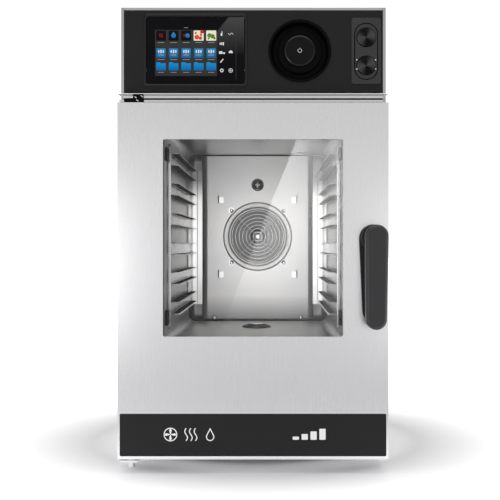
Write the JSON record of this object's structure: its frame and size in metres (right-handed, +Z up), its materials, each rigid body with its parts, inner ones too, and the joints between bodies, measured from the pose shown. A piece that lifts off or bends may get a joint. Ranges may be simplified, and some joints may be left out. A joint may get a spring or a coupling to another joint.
{
  "type": "combi steamer oven",
  "caption": "Compact countertop combi steamer oven with a hinged glass door, turning handle, side racks, fan and a control panel with screen and knob.",
  "frame": {"origin": "on the floor, under the middle of the whole oven's box", "axes": "+Z up, +X to the right seen from the front, the door faces -Y"},
  "size_m": [0.519, 0.803, 0.93],
  "materials": {
    "casing_steel": "satin stainless sheet, brushed vertically",
    "bright_steel": "electropolished stainless wire and sheet",
    "cavity_steel": "bright annealed stainless, lightly marked",
    "dark_metal": "black coated metal, fine turning marks",
    "black_plastic": "smooth black panel, low gloss",
    "grey_plastic": "fine-grained charcoal plastic",
    "silicone": "black silicone seal",
    "door_glass": "clear tempered glass",
    "screen_glass": "gloss black touch screen",
    "circuit": "green circuit board",
    "motor_paint": "grey painted motor casing",
    "insulation": "mineral wool blanket",
    "brass": "machined brass",
    "lamp": "frosted lamp strip"
  },
  "bodies": {
    "casing": {"base_tray": "casing_steel", "side_panel_left": "casing_steel", "side_panel_right": "casing_steel", "top_cover": "casing_steel", "back_panel": "casing_steel", "front_frame": "casing_steel", "visor_lip": "casing_steel", "chimney_pipe": "casing_steel", "lower_hinge_bracket": "bright_steel", "latch_strike": "bright_steel", "fan_guard": "bright_steel", "cavity_shell": "cavity_steel", "fan_baffle": "cavity_steel", "upper_hinge_bracket": "dark_metal", "heating_element": "dark_metal", "spray_nozzle": "dark_metal", "control_fascia": "black_plastic", "knob_bowl": "black_plastic", "encoder_body": "black_plastic", "cable_gland": "black_plastic", "cooling_fan_housing": "black_plastic", "foot_front_left": "black_plastic", "foot_front_right": "black_plastic", "foot_back_left": "black_plastic", "foot_back_right": "black_plastic", "display_bezel": "grey_plastic", "port_plate": "grey_plastic", "drain_pipe": "grey_plastic", "cavity_gasket": "silicone", "display_module": "screen_glass", "control_board": "circuit", "fan_motor": "motor_paint", "insulation_blanket": "insulation", "water_inlet_valve": "brass"},
    "door": {"door_outer_skin": "casing_steel", "door_outer_glass": "door_glass", "door_inner_frame": "casing_steel", "door_inner_glass": "door_glass", "door_trim_strip": "black_plastic", "door_hinge_bush_upper": "brass", "door_hinge_bush_lower": "brass", "door_lamp_strip": "lamp", "handle_base": "grey_plastic"},
    "handle": {"handle_lever": "grey_plastic", "latch_spindle": "bright_steel", "latch_hook": "bright_steel"},
    "knob_plunger": {"encoder_shaft": "bright_steel"},
    "knob": {"control_knob": "black_plastic"},
    "upper_cap": {"port_cap_upper": "dark_metal"},
    "lower_cap": {"port_cap_lower": "dark_metal"},
    "fan": {"fan_wheel": "cavity_steel", "fan_shaft": "bright_steel"},
    "flap": {"vent_flap": "bright_steel"},
    "left_rack": {"rack_left": "bright_steel"},
    "right_rack": {"rack_right": "bright_steel"},
    "strainer": {"drain_strainer": "bright_steel"},
    "cooling_rotor": {"cooling_fan_rotor": "grey_plastic"},
    "left_baffle_knob": {"baffle_knob_left": "dark_metal"},
    "right_baffle_knob": {"baffle_knob_right": "dark_metal"}
  },
  "joints": [
    {"name": "door_swing", "type": "hinge", "parent": "casing", "child": "door", "pos_m": [-0.235, -0.336, 0.37], "axis": [0, 0, -1], "range_deg": [0, 120]},
    {"name": "handle_turn", "type": "hinge", "parent": "door", "child": "handle", "pos_m": [0.234, -0.387, 0.452], "axis": [0, 1, 0], "range_deg": [0, 70]},
    {"name": "knob_push", "type": "slide", "parent": "casing", "child": "knob_plunger", "axis": [0, 1, 0], "range_m": [0, 0.0015], "stiffness_N_per_m": 800},
    {"name": "knob_turn", "type": "hinge", "parent": "knob_plunger", "child": "knob", "pos_m": [0.0909, -0.305, 0.8192], "axis": [0, 1, 0], "continuous": true},
    {"name": "upper_cap_turn", "type": "hinge", "parent": "casing", "child": "upper_cap", "pos_m": [0.2213, -0.304, 0.8455], "axis": [0, 1, 0], "range_deg": [0, 90]},
    {"name": "lower_cap_turn", "type": "hinge", "parent": "casing", "child": "lower_cap", "pos_m": [0.2213, -0.304, 0.7905], "axis": [0, 1, 0], "range_deg": [0, 90]},
    {"name": "fan_spin", "type": "hinge", "parent": "casing", "child": "fan", "pos_m": [0, 0.29, 0.46], "axis": [0, 1, 0], "continuous": true},
    {"name": "flap_turn", "type": "hinge", "parent": "casing", "child": "flap", "pos_m": [0.11, 0.205, 0.88], "axis": [1, 0, 0], "range_deg": [0, 90]},
    {"name": "left_rack_lift", "type": "slide", "parent": "casing", "child": "left_rack", "axis": [0, 0, 1], "range_m": [0, 0.012]},
    {"name": "right_rack_lift", "type": "slide", "parent": "casing", "child": "right_rack", "axis": [0, 0, 1], "range_m": [0, 0.012]},
    {"name": "strainer_lift", "type": "slide", "parent": "casing", "child": "strainer", "axis": [0, 0, 1], "range_m": [0, 0.06]},
    {"name": "cooling_fan_spin", "type": "hinge", "parent": "casing", "child": "cooling_rotor", "pos_m": [-0.11, 0.362, 0.8], "axis": [0, 1, 0], "continuous": true},
    {"name": "left_baffle_knob_turn", "type": "hinge", "parent": "casing", "child": "left_baffle_knob", "pos_m": [-0.11, 0.266, 0.2545], "axis": [0, 1, 0], "range_deg": [0, 90]},
    {"name": "right_baffle_knob_turn", "type": "hinge", "parent": "casing", "child": "right_baffle_knob", "pos_m": [0.11, 0.266, 0.2545], "axis": [0, 1, 0], "range_deg": [0, 90]}
  ]
}
